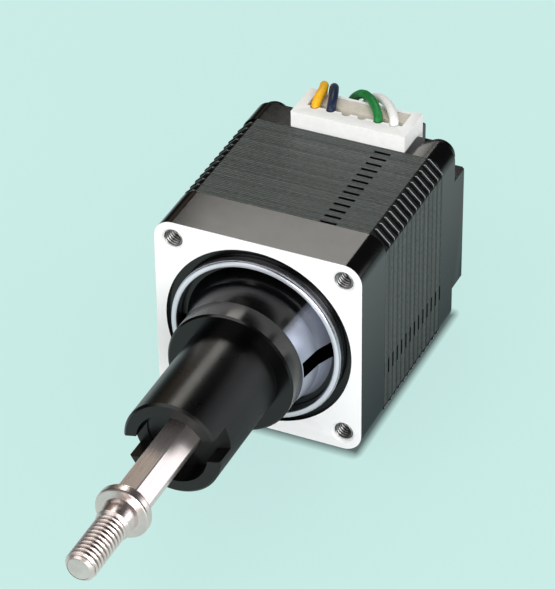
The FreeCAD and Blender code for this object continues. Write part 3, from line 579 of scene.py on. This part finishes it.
def grown(name, body, slot, mesh, *steps):
    """Piece made by node trees, each with its own sizes, and then kept as a plain mesh."""
    piece = bpy.data.objects.new(name, mesh)
    scene.collection.objects.link(piece)
    for tree, sizes in steps:
        modifier = piece.modifiers.new(tree.name, "NODES")
        modifier.node_group = tree
        for socket in tree.interface.items_tree:
            if socket.in_out == "INPUT" and socket.name in sizes:
                modifier[socket.identifier] = sizes[socket.name]
    made = bpy.data.meshes.new_from_object(piece.evaluated_get(bpy.context.evaluated_depsgraph_get()))
    piece.modifiers.clear()
    piece.data = made
    made.shade_smooth()
    made.set_sharp_from_angle(angle=math.radians(40))
    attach(piece, body)
    return piece


def tapped_finish():
    """Cut aluminium, with painted shade in the thread's roots and down the hole."""
    crest_reach, root_reach = 0.00110, 0.00120
    shade_start, shade_end, deepest_shade = 0.0008, 0.0030, 0.8
    finish = grained(
        "Tapped aluminium", tone(150, 150, 150), tone(186, 186, 184), grain_size=0.0002, glossy=0.30,
        dull=0.40, metallic=0.9)
    tree = finish.node_tree
    spot = here(tree)
    # Painted shade: the thread's roots, and the hole further in, are darkened.
    root_shade = ramp(tree, from_hole(tree, spot), crest_reach, root_reach)
    deep = ramp(tree, spot["Y"], shade_start, shade_end, 0.0, deepest_shade)
    dark_share = math_of(tree, "MAXIMUM", root_shade, deep)
    feed(tree, {"Base Color": blend(tree, dark_share, grain_of(finish)["Colour"], tone(36, 36, 38))})
    return finish


screw_thread = thread_tree()
four_corners = corner_tree()
no_chamfer = -0.001
tapped_metal = tapped_finish()
grown(
    "mount_threads", "motor", "black_cap", bpy.data.meshes.new("mount_threads"),
    (screw_thread, {
        "Crest radius": 0.00124, "Pitch": 0.00045, "Depth": 0.00021, "Length": 0.0044, "Middle": 0.0025,
        "Chamfer": no_chamfer, "Rows": 120, "Columns": 32, "Inside": True, "Finish": tapped_metal}),
    (four_corners, {"Spacing": mount_spacing, "Finish": tapped_metal}))


# Guide sleeve. One black moulding snaps into the pilot ring by a drum with two slots. One side of that
# drum has a painted pale metallic sheen, which stands for its reflection of the bright face and ring,
# with painted shade on the flare above the slot. Its tube ends in two notches, and its hexagonal bore
# keeps the output shaft from turning.
def sleeve_finish():
    """Black plastic, satin on the tube, with a painted sheen on one side of the drum and painted shade on
    its flare.
    """
    collar_front, drum_front, drum_bend, slot_lean = -0.0084, -0.00534, -0.0017, 0.07
    side_start, side_end, sheen_start, sheen_end, wall_facing = 0.45, 0.65, 0.68, 0.78, 0.6
    tube_dull, side_dull, sheen_dull, sheen_metallic = 0.10, 0.24, 0.14, 0.55
    finish = grained(
        "Black sleeve plastic", tone(6, 6, 7), tone(9, 9, 10), grain_size=0.0004, glossy=0.17, dull=0.21,
        relief=0.04)
    tree = finish.node_tree
    grain = grain_of(finish)
    spot = here(tree)
    flat = add(tree, "ShaderNodeCombineXYZ", {0: spot["X"], 2: spot["Z"]}).outputs[0]
    spoke = add(tree, "ShaderNodeVectorMath", {0: flat}, operation="NORMALIZE").outputs[0]
    lean = add(tree, "ShaderNodeSeparateXYZ", {0: spoke}).outputs
    normal = add(tree, "ShaderNodeNewGeometry").outputs["Normal"]
    facing = add(tree, "ShaderNodeVectorMath", {
        0: spoke, 1: normal}, operation="DOT_PRODUCT").outputs["Value"]
    tube = math_of(tree, "LESS_THAN", spot["Y"], collar_front)
    tube_side = math_of(tree, "MULTIPLY", tube, ramp(tree, lean["X"], side_start, side_end))
    drum = math_of(tree, "GREATER_THAN", spot["Y"], drum_front)
    # Painted reflection: a pale metallic sheen on the drum's outward-facing right side.
    painted_sheen_side = math_of(
        tree, "MULTIPLY", drum, ramp(tree, lean["X"], sheen_start, sheen_end),
        math_of(tree, "GREATER_THAN", facing, wall_facing))
    # Painted shade: within the sheen, the flare above the slot takes a darker copy of the pale colour.
    shaded_flare = math_of(
        tree, "MULTIPLY", math_of(tree, "GREATER_THAN", spot["Y"], drum_bend),
        math_of(tree, "GREATER_THAN", lean["Z"], slot_lean))
    sheen_colour = blend(tree, shaded_flare, tone(160, 166, 182), tone(138, 143, 157))
    satin = math_of(
        tree, "ADD", grain["Roughness"], math_of(tree, "MULTIPLY", tube, tube_dull),
        math_of(tree, "MULTIPLY", painted_sheen_side, sheen_dull), math_of(tree, "MULTIPLY", tube_side, side_dull))
    feed(tree, {
        "Base Color": blend(tree, painted_sheen_side, grain["Colour"], sheen_colour), "Roughness": satin,
        "Metallic": math_of(tree, "MULTIPLY", painted_sheen_side, sheen_metallic)})
    return finish


def turned_copy(node, name, finish):
    """Copy of a solid of the frame whose round walls are shaded as true cones about the shaft axis."""
    most_sideways, least_outward = 0.06, 0.3
    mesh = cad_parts[node].data.copy()
    mesh.materials.clear()
    mesh.materials.append(finish)
    normals = []
    for face in mesh.polygons:
        outward = Vector((face.center.x, 0, face.center.z)).normalized()
        sideways = outward.cross(Vector((0, 1, 0)))
        lean, reach = abs(face.normal.dot(sideways)), abs(face.normal.dot(outward))
        is_round = lean < most_sideways and reach > least_outward
        for index in face.vertices:
            corner = mesh.vertices[index].co
            spoke = Vector((corner.x, 0, corner.z)).normalized() * face.normal.dot(outward)
            cone = (spoke + Vector((0, face.normal.y, 0))).normalized()
            normals.append(cone if is_round else face.normal)
    mesh.shade_smooth()
    mesh.normals_split_custom_set(normals)
    piece = bpy.data.objects.new(name, mesh)
    scene.collection.objects.link(piece)
    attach(piece, "motor")
    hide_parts(node)
    return piece


turned_copy("anti_rotation_sleeve", "guide_sleeve", sleeve_finish())


# Output shaft. Stainless steel bar, drawn to a hexagon behind and turned to a collar, a neck and an
# M4 stud in front. Its screw is pinned into the back of the hexagon, with a ring as its end stop.
def skinned(name, rings):
    """Closed mesh over rings of points, which all have the same count."""
    shape = bmesh.new()
    loops = [[shape.verts.new(point) for point in ring] for ring in rings]
    for first, second in zip(loops, loops[1:]):
        for index in range(len(first)):
            after = (index + 1) % len(first)
            shape.faces.new((first[index], first[after], second[after], second[index]))
    bmesh.ops.remove_doubles(shape, verts=shape.verts, dist=1e-7)
    bmesh.ops.holes_fill(shape, edges=shape.edges)
    bmesh.ops.recalc_face_normals(shape, faces=shape.faces)
    mesh = bpy.data.meshes.new(name)
    shape.to_mesh(mesh)
    shape.free()
    return mesh


def circle(radius, y, count=72):
    """Round ring of points about the shaft axis."""
    angles = [2 * math.pi * step / count for step in range(count)]
    return [(radius * math.cos(angle), y, radius * math.sin(angle)) for angle in angles]


def hexagon(across_flats, y, turned, edge_radius):
    """Hexagonal section with its six edges taken off at a radius."""
    flat = across_flats / 2
    half = math.acos(flat / edge_radius)
    angles = [math.radians(turned + 60 * side) + sign * half for side in range(6) for sign in (-1, 1)]
    return [(edge_radius * math.cos(angle), y, edge_radius * math.sin(angle)) for angle in angles]


def placed(name, body, finish, mesh):
    """Piece of one finish, with every edge of more than 20 degrees kept sharp."""
    mesh.materials.append(finish)
    mesh.shade_smooth()
    mesh.set_sharp_from_angle(angle=math.radians(20))
    piece = bpy.data.objects.new(name, mesh)
    scene.collection.objects.link(piece)
    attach(piece, body)
    return piece


hex_across_flats, hex_edge_radius, hex_flat_angle = 0.0044, 0.00249, 37.5
hex_back, hex_front = -0.0024, -0.0368
collar_front, neck_front, stud_tip = -0.0380, -0.0406, -0.0488
collar_radius, neck_radius, stud_radius = 0.0035, 0.0022, 0.0020
stud_pitch, stud_depth, stud_chamfer = 0.0007, 0.00034, 0.0005
edge, fillet, overlap = 0.00022, 0.0004, 0.0002
runout_back, runout_front, core_gap = 0.0003, 0.0001, 0.00002
tip_edge, tip_step = 0.0001, 0.00004


def rolled_finish():
    """Thread steel, with painted brown shade in the thread's valleys behind the chamfer."""
    finish = grained(
        "Rolled thread steel", tone(226, 210, 206), tone(244, 232, 228), grain_size=0.00015, glossy=0.3,
        dull=0.4, relief=0.08, metallic=0.9)
    tree = finish.node_tree
    spot = here(tree)
    from_axis = across(tree, spot["X"], spot["Z"])
    crest_unshaded = ramp(tree, from_axis, stud_radius - stud_depth, stud_radius - 0.3 * stud_depth)
    crest_unshaded = math_of(tree, "MAXIMUM", crest_unshaded, math_of(tree, "LESS_THAN", spot["Y"], stud_tip + stud_pitch))
    # Painted shade: the valleys take a dark brown in place of the steel's colour.
    feed(tree, {"Base Color": blend(tree, crest_unshaded, tone(104, 84, 68), grain_of(finish)["Colour"])})
    return finish


shaft_steel = grained(
    "Drawn stainless steel", tone(220, 208, 204), tone(236, 225, 221), grain_size=0.00025, glossy=0.26,
    dull=0.32, relief=0.05, metallic=0.84, stretch=(1, 0.04, 1))
turned_steel = grained(
    "Turned stainless steel", tone(228, 212, 208), tone(246, 234, 230), grain_size=0.00012, glossy=0.26,
    dull=0.36, relief=0.08, metallic=1.0, stretch=(0.1, 1, 0.1))
hex_bar = skinned("hex_bar", [
    hexagon(hex_across_flats, y, hex_flat_angle, hex_edge_radius) for y in (hex_back, hex_front)])
head = skinned("shaft_head", [circle(radius, y) for radius, y in (
    (0, hex_front + overlap), (collar_radius - edge, hex_front + overlap),
    (collar_radius - edge, hex_front), (collar_radius - edge / 3, hex_front - edge / 3),
    (collar_radius, hex_front - edge),
    (collar_radius, collar_front + edge), (collar_radius - edge / 3, collar_front + edge / 3),
    (collar_radius - edge, collar_front), (neck_radius + fillet, collar_front),
    (neck_radius + fillet / 4, collar_front - fillet / 4), (neck_radius, collar_front - fillet),
    (neck_radius, neck_front + runout_back), (stud_radius - stud_depth, neck_front - runout_front),
    (stud_radius - stud_depth - core_gap, stud_tip + stud_chamfer),
    (stud_radius - stud_chamfer, stud_tip + tip_step),
    (stud_radius - stud_chamfer - tip_edge, stud_tip), (0, stud_tip))])
shaft = placed("output_rod", "shaft", shaft_steel, hex_bar)
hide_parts("output_shaft")
placed("output_rod_head", "shaft", turned_steel, head)
grown(
    "stud_thread", "shaft", "shaft_steel", bpy.data.meshes.new("stud_thread"),
    (screw_thread, {
        "Crest radius": stud_radius, "Pitch": stud_pitch, "Depth": stud_depth,
        "Length": neck_front - stud_tip, "Middle": (neck_front + stud_tip) / 2, "Chamfer": stud_chamfer,
        "Rows": 190, "Columns": 72, "Inside": False, "Finish": rolled_finish()}))
screw_radius, screw_lead, screw_depth, screw_end = 0.00237, 0.00254, 0.0005, 0.0183
core_radius = screw_radius - screw_depth
screw_core = skinned("screw_core", [circle(radius, y) for radius, y in (
    (0, hex_back), (core_radius, hex_back), (core_radius, screw_end), (0, screw_end))])
screw = placed("lead_screw_core", "shaft", turned_steel, screw_core)
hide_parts("lead_screw")
grown(
    "lead_screw_thread", "shaft", "shaft_steel", bpy.data.meshes.new("lead_screw_thread"),
    (screw_thread, {
        "Crest radius": screw_radius, "Pitch": screw_lead, "Depth": screw_depth,
        "Length": screw_end - hex_back, "Middle": (screw_end + hex_back) / 2, "Chamfer": no_chamfer,
        "Rows": 160, "Columns": 48, "Inside": False, "Finish": turned_steel}))
dress(turned_steel, "shaft_steel", "join_pin", "stop_ring")

# Rear cap. A second casting in the same black paint closes the stack, with a window for the
# connector, a hole for the screw's end and a pocket at each corner.
softened(
    "rear_cap", "rear_cap_casting", edge=0.00015, finish=cap_finish("Painted cap", machined=False))

# Clamping screws. Four long screws with hexagon sockets, of blackened steel. They pass from the rear cap's
# pockets through the stack's corners into the front cap, and so hold caps and stack together.
head_seat, head_top, shank_tip, shank_point = 0.030312, 0.031912, 0.0052, 0.0003
head_radius, shank_radius, head_edge = 0.0020, 0.00095, 0.0004
socket_across_flats, socket_floor = 0.0020, 0.0311


def socket_ring(y, count=72):
    """Points on a hexagon, at the same angles as a circle's."""
    ring = []
    for step in range(count):
        angle = 360 * step / count
        reach = socket_across_flats / 2 / math.cos(math.radians(angle % 60 - 30))
        ring.append((reach * math.cos(math.radians(angle)), y, reach * math.sin(math.radians(angle))))
    return ring


screw_plating = grained(
    "Blackened screw plating", tone(52, 52, 54), tone(92, 92, 94), grain_size=0.00015, glossy=0.25,
    dull=0.4, metallic=1.0)
screw_mesh = skinned("clamping_screw", [circle(radius, y) for radius, y in (
    (0, shank_tip), (shank_radius - shank_point, shank_tip), (shank_radius, shank_tip + shank_point),
    (shank_radius, head_seat), (head_radius, head_seat), (head_radius, head_top - head_edge),
    (head_radius - head_edge / 3, head_top - head_edge / 3), (head_radius - head_edge, head_top))] + [
        socket_ring(head_top), socket_ring(socket_floor), circle(0, socket_floor)])
screws = grown(
    "clamping_screws", "motor", "screw_steel", screw_mesh,
    (four_corners, {"Spacing": mount_spacing, "Finish": screw_plating}))
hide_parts("through_screws")

# Connector. A white nylon header with tinned pins is soldered to a small board under the rear cap's
# window. The natural nylon plug in it holds a crimped contact for each lead.
white_nylon = grained(
    "White nylon", tone(234, 234, 232), tone(242, 242, 240), grain_size=0.0008, glossy=0.36, dull=0.5,
    relief=0.04)
natural_nylon = grained(
    "Natural nylon", tone(196, 188, 172), tone(214, 207, 193), grain_size=0.0006, glossy=0.36, dull=0.5,
    relief=0.06)
board_laminate = grained(
    "Board laminate", tone(40, 74, 46), tone(58, 96, 62), grain_size=0.0003, glossy=0.35, dull=0.5)
softened("connector_header", "header_moulding", edge=0.00014, finish=white_nylon)
softened("connector_plug", "plug_moulding", edge=0.0001, finish=natural_nylon)
dress(tinned_strands, "tinned_pin", "header_pins", "plug_contacts")
dress(board_laminate, "board_laminate", "terminal_board")

# Tie. A flat band of black plastic, closed round the coil of spare lead by hand to hold its turns
# together.
tie_plastic = grained(
    "Tie plastic", tone(16, 16, 17), tone(30, 30, 31), grain_size=0.0003, glossy=0.35, dull=0.5)
dress(tie_plastic, "tie_plastic", "lead_tie")

# Floor. A sheet of pale paper under the motor, in the colour of the backdrop, with a thin painted shadow
# where the motor stands on it. Shiny parts see it bright near the motor, with a painted shadow under and
# beside it, and dim far away.
floor_height = cad_box[0].z
floor_reach = 3.0
backdrop, under_light = tone(201, 236, 231), tone(214, 218, 217)
mirrored, mirrored_shadow, dim = tone(204, 219, 217), tone(94, 109, 110), tone(54, 55, 55)
mirrored_shadow_reach, fade_start, fade_end = 0.017, 0.06, 0.30
half_width, foot_half_width, foot_back = 0.014, 0.0133, 0.0319
shadow_reach, shadow_light, side_squeeze = 0.0018, 0.12, 1.6
glow_share = 0.85
floor_mesh = bpy.data.meshes.new("floor")
floor_mesh.from_pydata([
    (x * floor_reach, y * floor_reach, floor_height) for x, y in ((-1, -1), (1, -1), (1, 1), (-1, 1))],
    [], [(0, 1, 2, 3)])
paper = bpy.data.materials.new("Pale paper")
paper.use_nodes = True
tree = paper.node_tree
tree.nodes.clear()
rays = add(tree, "ShaderNodeLightPath").outputs
seen = math_of(tree, "MAXIMUM", rays["Is Camera Ray"], rays["Is Glossy Ray"], rays["Is Transmission Ray"])
place = add(tree, "ShaderNodeTexCoord").outputs["Object"]
spot = here(tree)
off_x = math_of(tree, "ABSOLUTE", spot["X"])
beside, aside = (
    math_of(tree, "MAXIMUM", math_of(tree, "SUBTRACT", off_x, side), 0.0)
    for side in (half_width, foot_half_width))
before = math_of(tree, "MAXIMUM", math_of(tree, "MULTIPLY", spot["Y"], -1.0), 0.0)
behind = math_of(tree, "MAXIMUM", math_of(tree, "SUBTRACT", spot["Y"], foot_back), before)
# Painted shadow in what shiny parts see: darker close in front of and beside the motor.
clear = ramp(tree, across(tree, beside, before), 0.0, mirrored_shadow_reach)
from_middle = add(tree, "ShaderNodeVectorMath", {0: place}, operation="LENGTH").outputs["Value"]
far = ramp(tree, from_middle, fade_start, fade_end)
mirrored_floor = blend(tree, far, blend(tree, clear, mirrored_shadow, mirrored), dim)
from_foot = across(tree, math_of(tree, "MULTIPLY", aside, side_squeeze), behind)
# Painted shadow: the floor's glow is darkened in a thin band where the motor stands.
contact = ramp(tree, from_foot, 0.0, shadow_reach, shadow_light, 1.0)
lit_floor = blend(tree, contact, (0, 0, 0, 1), backdrop)
seen_colour = blend(tree, rays["Is Camera Ray"], mirrored_floor, lit_floor)
glow = add(tree, "ShaderNodeEmission", {"Color": seen_colour, "Strength": 1.0}).outputs[0]
matt, neutral = (
    add(tree, "ShaderNodeBsdfDiffuse", {"Color": colour}).outputs[0] for colour in (backdrop, under_light))
shown = add(tree, "ShaderNodeMixShader", {0: glow_share, 1: matt, 2: glow}).outputs[0]
surface = add(tree, "ShaderNodeMixShader", {0: seen, 1: neutral, 2: shown}).outputs[0]
tree.links.new(surface, add(tree, "ShaderNodeOutputMaterial").inputs[0])
floor_mesh.materials.append(paper)
floor = bpy.data.objects.new("floor", floor_mesh)
scene.collection.objects.link(floor)

# Light. An even room with seven lamps: a weak key over the camera's left, a broad one for the front face,
# two over the back for the tops, a brown card and a small near lamp for the hexagon's flats, and a cool
# one behind the right side.
room_light = tone(206, 207, 207)
world = bpy.data.worlds.new("studio")
world.use_nodes = True
tree = world.node_tree
tree.nodes.clear()
rays = add(tree, "ShaderNodeLightPath").outputs
mirrors = math_of(tree, "MAXIMUM", rays["Is Glossy Ray"], rays["Is Transmission Ray"])
room = blend(tree, mirrors, room_light, dim)
room = blend(tree, rays["Is Camera Ray"], room, backdrop)
air = add(tree, "ShaderNodeBackground", {0: room, 1: 1.0}).outputs[0]
tree.links.new(air, add(tree, "ShaderNodeOutputWorld").inputs[0])
scene.world = world


def softbox(name, direction, distance, width, height, radiance, colour, turn=0, aim=(0, 0, 0)):
    """Flat soft lamp that faces the motor. Its brightness is given as it would look in a mirror."""
    lamp = bpy.data.lights.new(name, "AREA")
    lamp.shape = "RECTANGLE"
    lamp.size = width
    lamp.size_y = height
    lamp.energy = radiance * math.pi * width * height
    lamp.color = colour
    box = bpy.data.objects.new(name, lamp)
    place = Vector(direction).normalized() * distance
    outward = place - Vector(aim)
    facing = outward.to_track_quat("Z", "Y").to_matrix() @ Matrix.Rotation(math.radians(turn), 3, "Z")
    box.matrix_world = Matrix.Translation(place) @ facing.to_4x4()
    scene.collection.objects.link(box)


softbox(
    "key_light", (-0.45, -0.75, 0.75), distance=0.7, width=0.5, height=0.5, radiance=1.6,
    colour=(1.0, 0.99, 0.97))
softbox(
    "front_light", (0.38, -0.90, 0.15), distance=0.8, width=0.5, height=0.32, radiance=9.4,
    colour=(1.0, 1.0, 1.0))
softbox(
    "back_top_light", (-0.2835, 0.680, 0.6756), distance=0.55, width=0.15, height=0.16, radiance=4.0,
    colour=(1.0, 0.98, 0.92), turn=-14)
softbox(
    "overhead_light", (-0.34, 0.12, 0.93), distance=0.55, width=0.22, height=0.10, radiance=0.7,
    colour=(1.0, 0.95, 0.88))
softbox(
    "back_left_card", (-0.60, 0.65, 0.47), distance=0.55, width=0.17, height=0.20, radiance=0.25,
    colour=(1.0, 0.74, 0.44))
softbox(
    "shaft_light", (0.086, 0.057, 0.023), distance=0.1057, width=0.034, height=0.026, radiance=1.6,
    colour=(0.99, 0.98, 1.0), aim=(0, -0.0306, 0))
softbox(
    "right_light", (0.83, 0.50, 0.27), distance=0.5, width=0.13, height=0.34, radiance=3.0,
    colour=(0.93, 0.94, 1.0))
